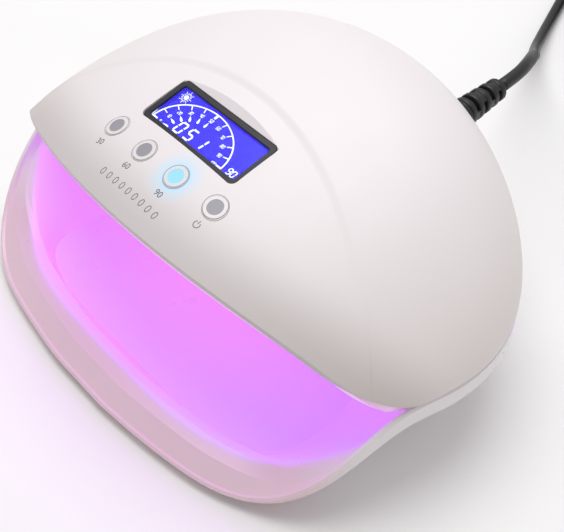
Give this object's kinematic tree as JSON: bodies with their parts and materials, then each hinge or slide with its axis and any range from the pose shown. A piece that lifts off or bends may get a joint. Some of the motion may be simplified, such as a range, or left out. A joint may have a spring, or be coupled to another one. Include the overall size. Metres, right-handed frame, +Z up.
{
  "type": "uv led nail lamp",
  "caption": "Domed benchtop UV LED lamp for curing nail gel, with a timer display, push keys, lift-off housing on a scoop tray and a mains cord.",
  "frame": {"origin": "on the floor under the middle of the body, midway between its sides, front and rear", "axes": "+X to the right seen from the front (longest side), +Z up, -Y towards the hand opening, the cord leaves towards +Y"},
  "size_m": [0.2302, 0.4365, 0.1],
  "materials": {
    "tray_plastic": "satin",
    "foot_rubber": "matte",
    "magnet_metal": "polished",
    "shell_plastic": "satin",
    "liner_plastic": "gloss",
    "keeper_steel": "zinc plated",
    "screw_steel": "zinc plated",
    "border_plastic": "gloss",
    "window_glass": "gloss",
    "lcd_glass": "glowing",
    "backlight_plastic": "matte",
    "board_laminate": "satin",
    "retainer_plastic": "matte",
    "switch_plastic": "matte",
    "led_resin": "gloss",
    "transformer_tape": "satin",
    "capacitor_sleeve": "satin",
    "ribbon_plastic": "satin",
    "cord_rubber": "satin",
    "lead_sheath": "matte",
    "tie_plastic": "satin",
    "plug_plastic": "satin",
    "pin_brass": "nickel plated",
    "led_lens": "gloss",
    "key_plastic": "satin",
    "disc_clear": "satin",
    "disc_lit": "glowing",
    "plunger_plastic": "matte"
  },
  "bodies": {
    "base": {"lower_tray": "tray_plastic", "rubber_feet": "foot_rubber", "catch_magnets": "magnet_metal", "cord_tube": "cord_rubber", "cord_tail": "cord_rubber", "cord_coil": "cord_rubber", "cord_tie": "tie_plastic", "plug_body": "plug_plastic", "plug_pins": "pin_brass"},
    "housing": {"top_shell": "shell_plastic", "reflector_liner": "liner_plastic", "keeper_plates": "keeper_steel", "case_screws": "screw_steel", "display_border": "border_plastic", "display_window": "window_glass", "lcd_panel": "lcd_glass", "lcd_backlight": "backlight_plastic", "display_board": "board_laminate", "display_retainer": "retainer_plastic", "tact_switches": "switch_plastic", "key_boards": "board_laminate", "key_lights": "led_resin", "power_board": "board_laminate", "transformer": "transformer_tape", "capacitors": "capacitor_sleeve", "ribbon_cable": "ribbon_plastic", "strain_relief": "cord_rubber", "inner_lead": "lead_sheath", "led_board_top": "board_laminate", "led_beads_top": "led_lens", "led_board_left": "board_laminate", "led_beads_left": "led_lens", "led_board_right": "board_laminate", "led_beads_right": "led_lens", "led_board_rear_left": "board_laminate", "led_beads_rear_left": "led_lens", "led_board_rear_right": "board_laminate", "led_beads_rear_right": "led_lens"},
    "key_30": {"key_cap_30": "key_plastic", "key_disc_30": "disc_clear", "key_plunger_30": "plunger_plastic"},
    "key_60": {"key_cap_60": "key_plastic", "key_disc_60": "disc_clear", "key_plunger_60": "plunger_plastic"},
    "key_90": {"key_cap_90": "key_plastic", "key_disc_90": "disc_lit", "key_plunger_90": "plunger_plastic"},
    "key_on": {"key_cap_on": "key_plastic", "key_disc_on": "disc_clear", "key_plunger_on": "plunger_plastic"}
  },
  "joints": [
    {"name": "lift_off", "type": "slide", "parent": "base", "child": "housing", "axis": [0, 0, 1], "range_m": [0, 0.06]},
    {"name": "key_30_press", "type": "slide", "parent": "housing", "child": "key_30", "axis": [0.1521, 0.329, -0.932], "range_m": [0, 0.0006], "stiffness_N_per_m": 600},
    {"name": "key_60_press", "type": "slide", "parent": "housing", "child": "key_60", "axis": [0.0484, 0.3384, -0.9398], "range_m": [0, 0.0006], "stiffness_N_per_m": 600},
    {"name": "key_90_press", "type": "slide", "parent": "housing", "child": "key_90", "axis": [-0.0484, 0.3384, -0.9398], "range_m": [0, 0.0006], "stiffness_N_per_m": 600},
    {"name": "key_on_press", "type": "slide", "parent": "housing", "child": "key_on", "axis": [-0.1521, 0.329, -0.932], "range_m": [0, 0.0006], "stiffness_N_per_m": 600}
  ]
}
